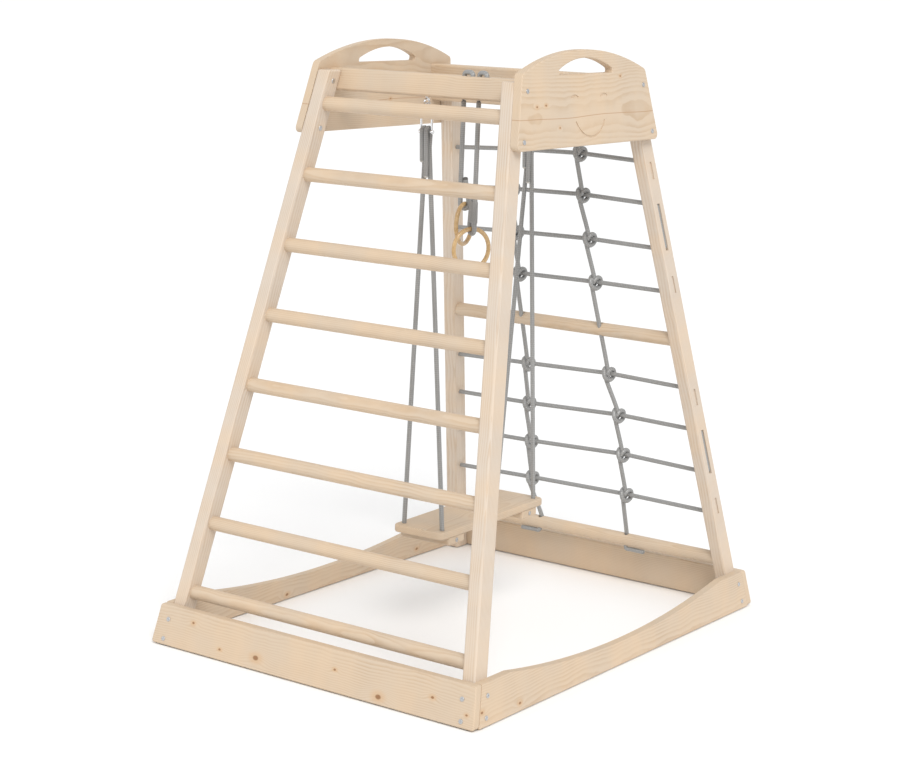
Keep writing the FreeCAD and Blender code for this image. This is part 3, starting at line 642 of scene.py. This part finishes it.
def net_cord(rows):
    """One cord: from a blind hole in the right leg, to and fro through both legs, to another such hole."""
    start = row_z(rows[0], 1)
    points = [net_point(inner_x(start) + CORD_SINK, start)]
    bends = []
    side = 1
    for i, row in enumerate(rows):
        z = row_z(row, side)
        points.append(net_point(side * (inner_x(z) - LEG_CLEAR), z))
        knots = (row[2], row[1]) if side > 0 else (row[1], row[2])
        points += [net_point(*knot) for knot in knots]
        side = -side
        z = row_z(row, side)
        points.append(net_point(side * (inner_x(z) - LEG_CLEAR), z))
        bends += [LEG_BEND_R, KNOT_BEND_R, KNOT_BEND_R, LEG_BEND_R]
        if i + 1 < len(rows):
            low = row_z(rows[i + 1], side)
            points += [net_point(side * groove_x(z), z), net_point(side * groove_x(low), low)]
            bends += [GROOVE_BEND_R, GROOVE_BEND_R]
    points.append(net_point(side * (inner_x(z) + CORD_SINK), z))
    return even(bent(points, bends))


def hitch(middle, down):
    """The path of a clove hitch round a row through middle; down points along the upright."""
    row = Vector(ALONG_X)
    down = (down - row * down.x).normalized()
    front = down.cross(row).normalized()
    if front.y > 0:
        front = -front
    found = []
    for angle, along, reach in HITCH:
        turn = math.radians(angle)
        out = front * math.cos(turn) + down * math.sin(turn)
        found.append(middle + row * (along * ROPE_R) + out * (reach * ROPE_R))
    return found


def net_upright(hand):
    """A rope hitched round every row, then through the bottom rung to a tail under it."""
    middles = [net_point(*row[1 if hand == "left" else 2]) for row in NET_ROWS]
    foot = net_point(FOOT_X[hand], BOTTOM_RUNG_Z)
    points = []
    for middle, below in zip(middles, middles[1:] + [foot]):
        points += hitch(middle, below - middle)
    start = points[0] + Vector(UPRIGHT_TIP)
    tail = foot - Vector((0, FOOT_TAIL_FORWARD, FOOT_TAIL_DROP))
    out = math.copysign(1, foot.x)
    points += [foot + Vector(FOOT_ABOVE), foot + Vector(FOOT_BELOW)]
    points.append(tail + Vector((out * FOOT_TAIL_START, 0, FOOT_TAIL_WAVE)))
    for reach in FOOT_TAIL_REACHES:
        points.append(tail + Vector((out * reach, FOOT_TAIL_WAVE * math.sin(reach * 90), 0)))
    return even(smooth([start] + points), FINE_STEP)


def build_net(grey):
    for cord, rows in (("upper", NET_ROWS[:ROWS_PER_CORD]), ("lower", NET_ROWS[ROWS_PER_CORD:])):
        piece = make_rope("net_cord_" + cord, net_cord(rows), grey, "frame")
        first = len(NET_ROWS) if cord == "upper" else ROWS_PER_CORD
        nodes = ["net_cord_row_%d" % (first - i) for i in range(ROWS_PER_CORD)]
        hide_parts("net_cord_bends_" + cord, *nodes)
    for hand in FOOT_X:
        piece = make_rope("net_rope_" + hand, net_upright(hand), grey, "frame")
        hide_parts("net_upright_" + hand)


# ---- swing ----
def seat_place(x, y, z):
    return Vector((
        SEAT_MIDDLE[0] + x * math.cos(SEAT_TURN) - y * math.sin(SEAT_TURN),
        SEAT_MIDDLE[1] + x * math.sin(SEAT_TURN) + y * math.cos(SEAT_TURN),
        z,
    ))


def swing_path(side, end):
    """From its hole in the seat, up over the shackle's pin and down to the cut tail."""
    pin = Vector((0, EYE_Y[end], BEAM_LOW[end] - PIN_DROP))
    x = side * STRAND_GAP
    hole = seat_place(side * SEAT_HOLE[0], end * SEAT_HOLE[1], SEAT_TOP)
    tail_z = TAIL_Z[side] - (BEAM_LOW[-1] - BEAM_LOW[end])
    corners = [
        hole - Vector((0, 0, SEAT_ROPE_SINK)),
        Vector((x, pin.y + STRAND_APART, pin.z - STRAND_MEET_DROP)),
        Vector((x, pin.y + PIN_CORNER, pin.z + PIN_CORNER)),
        Vector((x, pin.y - PIN_CORNER, pin.z + PIN_CORNER)),
        Vector((x, pin.y - STRAND_APART, tail_z)),
    ]
    return even(bent(corners, [STRAND_BEND_R, PIN_BEND_R, PIN_BEND_R]))


def under_seat(end):
    """From one hole in the seat, across in the groove under it and up into the other hole."""
    low = SEAT_TOP - SEAT_T + SEAT_ROPE_RISE
    top = SEAT_TOP - SEAT_ROPE_SINK
    x, y = SEAT_HOLE[0], end * SEAT_HOLE[1]
    corners = [seat_place(px, y, z) for px, z in ((-x, top), (-x, low), (x, low), (x, top))]
    return even(bent(corners, SEAT_ROPE_BEND_R))


def build_strand(side, hand, end, face, grey, ends):
    path = swing_path(side, end)
    tip = path[-1]
    name = "swing_cord_%s_%s" % (face, hand)
    piece = make_rope(name, path, grey, "swing")
    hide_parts("swing_rope_%s_%s" % (face, hand))
    ending = [tip + Vector((0, 0, END_SINK)), tip - Vector((0, 0, END_PROUD))]
    cap = tube_shape(ending, ROPE_R * MELTED_WIDTH)
    cut = make_mesh(name + "_cut_end", [cap], ends, "swing")


def build_swing(grey, ends):
    for end, face in ENDS:
        for side, hand in SIDES:
            build_strand(side, hand, end, face, grey, ends)
        path = under_seat(end)
        piece = make_rope("seat_cord_" + face, path, grey, "swing")
        # one CAD node holds both ropes under the seat
        if face == "front":
            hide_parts("swing_ropes_under_seat")


# ---- gym rings ----
def ring_line(ring):
    """The hanging rope's line, the line of the loop round the ring, and the direction across the loop."""
    turn = math.radians(ring["heading"])
    across = Vector((math.sin(turn), -math.cos(turn), 0))
    top = Vector(ring["top"])
    main_low = top + across * (ring["main"] * RING_REACH)
    tail_low = top - across * (ring["main"] * RING_REACH)
    start = Vector((main_low.x, main_low.y, ring["loop_top"]))
    pivot = Vector((ring["hole"][0], ring["hole"][1], BEAM_LOW[-1] - RING_PIVOT_DROP))
    close = main_low.lerp(tail_low, 0.5) - across * (ring["main"] * LOOP_TAIL_SHIFT)
    tail_top = Vector((close.x, close.y, ring["loop_top"] - LOOP_TAIL_SHORT))
    bend = []
    for i in range(LOOP_PARTS + 1):
        angle = math.pi * i / LOOP_PARTS
        sideways = across * (ring["main"] * RING_REACH * math.cos(angle))
        bend.append(top + sideways - Vector((0, 0, RING_REACH * math.sin(angle))))
    return even([pivot, start]), even([start] + bend + [tail_top], LOOP_STEP), across


def whipping(hand, loop_start, across):
    """Thin twine wound round both strands of a ring's loop."""
    middle, length = WHIPPING[hand]
    strands = loop_start - across * (RINGS[hand]["main"] * ROPE_R)
    centre = Vector((strands.x, strands.y, middle))
    turns = int(length / TWINE_PITCH)
    return coil_shape(centre, UPWARD, across, 2 * ROPE_R, ROPE_R + TWINE_OUT, length, turns, TWINE_R)


def rope_top(ring):
    """A ring's rope from its hole, over the beam and into the hole behind."""
    hole, back = ring["hole"], ring["back"]
    over = BEAM_TOP + RING_TOPS_RISE
    corners = [(*hole, BEAM_LOW[-1]), (*hole, over), (*back, over), (*back, BEAM_TOP - RING_TOPS_SINK)]
    return tube_shape(even(bent(corners, RING_TOPS_BEND_R), LOOP_STEP), ROPE_R)


def build_ring(hand, grey, light, tip_material, tip_width):
    hanging, loop, across = ring_line(RINGS[hand])
    rope = make_rope("ring_cord_" + hand, hanging, grey, "ring_rope_" + hand)
    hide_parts("ring_rope_" + hand)
    tip = loop[-1]
    body = "ring_" + hand
    eye = make_rope("ring_eye_" + hand, loop, grey, body)
    cap = tube_shape([tip, tip + Vector((0, 0, END_PROUD))], ROPE_R * tip_width)
    cut = make_mesh("ring_eye_%s_cut_end" % hand, [cap], tip_material, body)
    twine = make_mesh("ring_whipping_" + hand, [whipping(hand, loop[0], across)], light, body)
    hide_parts("ring_loop_" + hand)


def build_rings(grey, light, ends, frayed):
    build_ring("left", grey, light, frayed, FRAYED_WIDTH)
    build_ring("right", grey, light, ends, MELTED_WIDTH)
    tops = [rope_top(ring) for ring in RINGS.values()]
    piece = make_mesh("ring_cord_tops", tops, grey, "frame")
    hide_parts("ring_rope_tops")


# ---- studio ----
LIT_FROM = (2.4, -2.0, 3.0)
SUN_STRENGTH = 1.5
SUN_SPREAD = math.radians(30)
AIM = (0, 0, 0.6)
KEY = {"place": (2.4, -2.6, 3.2), "size": 1.3, "power": 12}
FILL = {"place": (-3.2, -3.0, 1.6), "size": 2.0, "power": 9}
FLOOR_REACH = 14.0
# the backdrop is plain white, and lights the object a little less than it shows
BACKDROP_LIGHT = 0.78
BACKDROP_SHOWN = 1.05
CAMERA_PLACE = (2.6962, -3.8073, 1.4708)
CAMERA_HEADING = math.radians(35.95)
CAMERA_PITCH = math.radians(11.053)
CAMERA_ROLL = math.radians(1.591)
CAMERA_LENS = 86.05
CAMERA_SHIFT = (0.0032, -0.0046)


def add_lamp(name, data, place, target):
    lamp = bpy.data.objects.new(name, data)
    bpy.context.scene.collection.objects.link(lamp)
    lamp.location = place
    lamp.rotation_euler = (Vector(target) - Vector(place)).to_track_quat("-Z", "Y").to_euler()


def area_light(name, place, size, power):
    data = bpy.data.lights.new(name, "AREA")
    data.shape = "RECTANGLE"
    data.size = size
    data.size_y = size
    data.energy = power
    add_lamp(name, data, place, AIM)


def sun_light():
    data = bpy.data.lights.new("sun", "SUN")
    data.energy = SUN_STRENGTH
    data.angle = SUN_SPREAD
    add_lamp("sun", data, LIT_FROM, (0, 0, 0))


def build_floor():
    s = Shader("studio_floor")
    grains = s.noise(s.coordinates(), 3.0, 2.0)
    s.set("Base Color", s.mix(grains, grey_tone(0.96), grey_tone(0.97)))
    s.set("Roughness", 0.9)
    mesh = bpy.data.meshes.new("studio_floor")
    far = FLOOR_REACH
    mesh.from_pydata([(-far, -far, 0), (far, -far, 0), (far, far, 0), (-far, far, 0)], [], [(0, 1, 2, 3)])
    mesh.materials.append(s.material)
    floor = bpy.data.objects.new("studio_floor", mesh)
    bpy.context.scene.collection.objects.link(floor)


def build_backdrop():
    world = bpy.data.worlds.new("studio_air")
    bpy.context.scene.world = world
    world.use_nodes = True
    tree = world.node_tree
    air = tree.nodes["Background"]
    air.inputs["Color"].default_value = grey_tone(1.0)
    seen = tree.nodes.new("ShaderNodeLightPath")
    level = tree.nodes.new("ShaderNodeMapRange")
    level.inputs["To Min"].default_value = BACKDROP_LIGHT
    level.inputs["To Max"].default_value = BACKDROP_SHOWN
    tree.links.new(seen.outputs["Is Camera Ray"], level.inputs["Value"])
    tree.links.new(level.outputs["Result"], air.inputs["Strength"])
    bpy.context.scene.view_settings.view_transform = "Standard"


def build_camera():
    flat = math.cos(CAMERA_PITCH)
    sideways, forward = -math.sin(CAMERA_HEADING) * flat, math.cos(CAMERA_HEADING) * flat
    ahead = Vector((sideways, forward, -math.sin(CAMERA_PITCH)))
    level = ahead.cross(Vector(UPWARD)).normalized()
    upright = level.cross(ahead)
    right = level * math.cos(CAMERA_ROLL) + upright * math.sin(CAMERA_ROLL)
    up = upright * math.cos(CAMERA_ROLL) - level * math.sin(CAMERA_ROLL)
    data = bpy.data.cameras.new("camera")
    data.lens = CAMERA_LENS
    data.sensor_width = 36.0
    data.shift_x, data.shift_y = CAMERA_SHIFT
    camera = bpy.data.objects.new("camera", data)
    bpy.context.scene.collection.objects.link(camera)
    turn = Matrix((right, up, -ahead)).transposed().to_4x4()
    camera.matrix_world = Matrix.Translation(CAMERA_PLACE) @ turn
    bpy.context.scene.camera = camera


def build():
    grey = braid("braided_rope", 0.33)
    light = braid("whipping_twine", 0.42, pitch=0.004, strands=4.0)
    frayed = matt("frayed_rope_end", rgb(0.14, 0.135, 0.13), 900.0)
    ends = matt("melted_rope_end", rgb(0.62, 0.6, 0.56), 800.0, 0.45)
    dress_wood()
    dress_fittings()
    build_net(grey)
    build_swing(grey, ends)
    build_rings(grey, light, ends, frayed)
    build_floor()
    build_backdrop()
    sun_light()
    area_light("key", **KEY)
    area_light("fill", **FILL)
    build_camera()


build()
